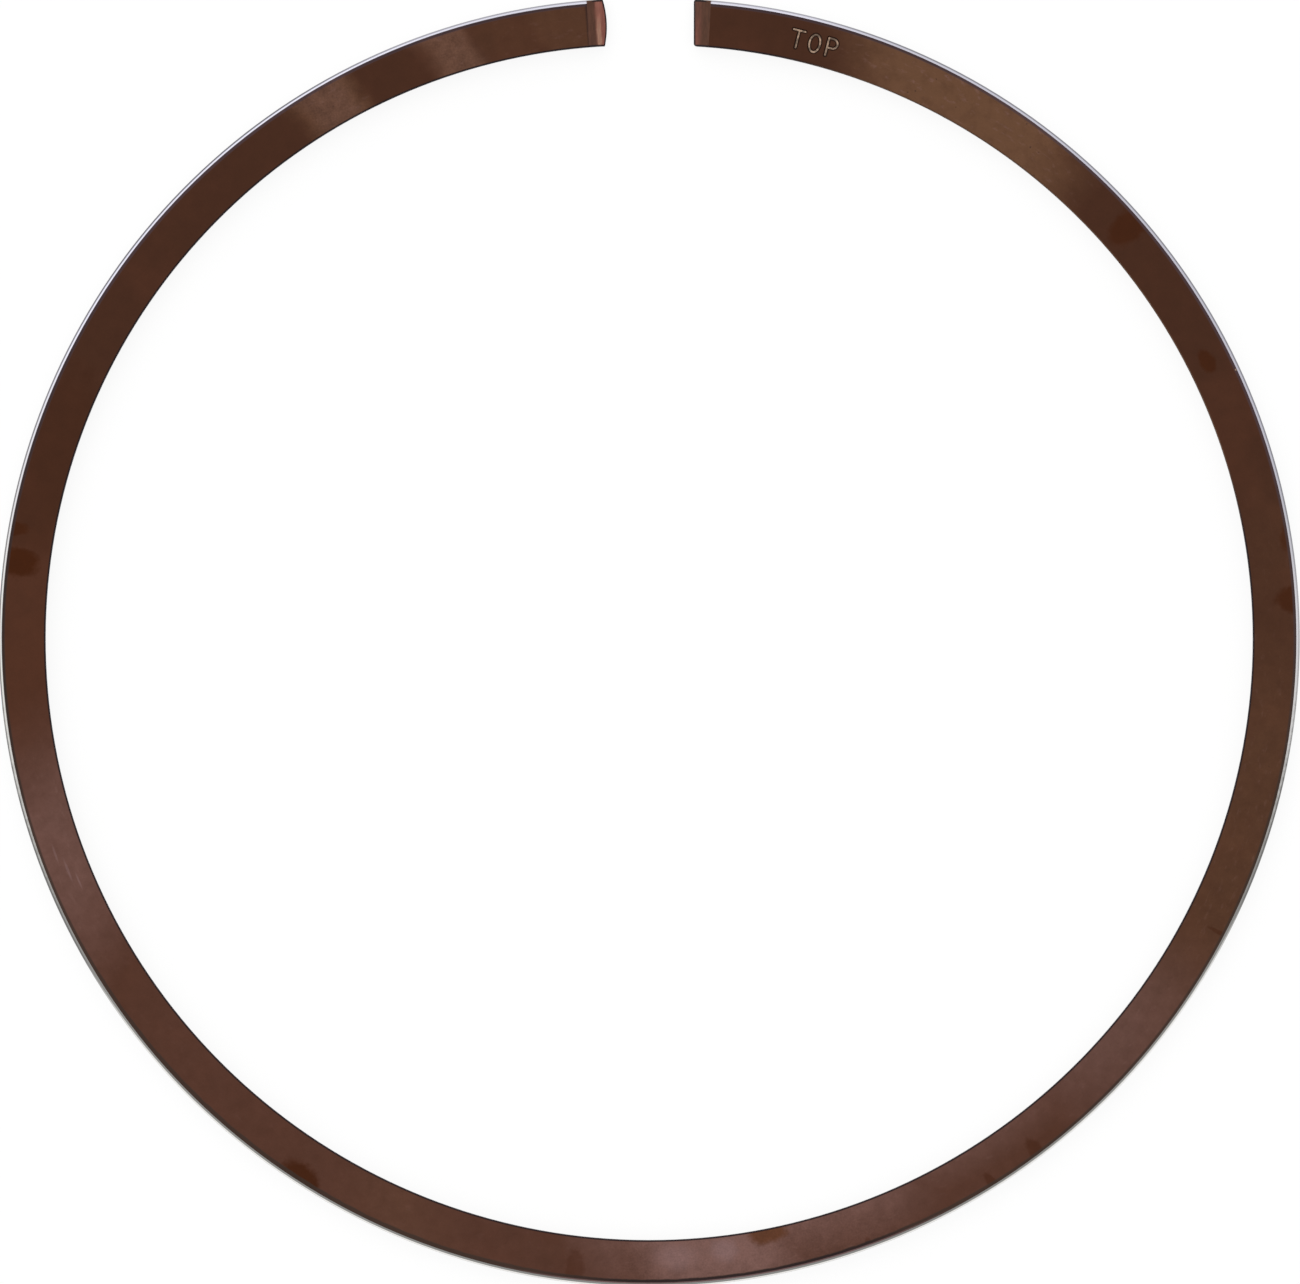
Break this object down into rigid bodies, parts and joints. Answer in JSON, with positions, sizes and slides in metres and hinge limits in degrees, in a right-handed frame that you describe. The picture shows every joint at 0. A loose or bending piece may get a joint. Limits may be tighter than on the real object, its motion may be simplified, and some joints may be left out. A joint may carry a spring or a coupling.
{
  "type": "piston ring",
  "caption": "Split piston ring lying in its free shape: flat sides, a bevelled and barrelled running face with a chrome finish, and relieved butt ends beside an open gap.",
  "frame": {"origin": "centre of the ring's footprint on its lower side face", "axes": "+Z is the ring's axis and points out of the marked side, +Y points at the gap, and +X points at the half with the straight butt end"},
  "size_m": [0.0778, 0.077, 0.0012],
  "materials": {
    "ring_steel": "brown oxide on the side faces, bright chrome on the running face and its bevels"
  },
  "bodies": {
    "root": {"piston_ring": "ring_steel"}
  },
  "joints": []
}
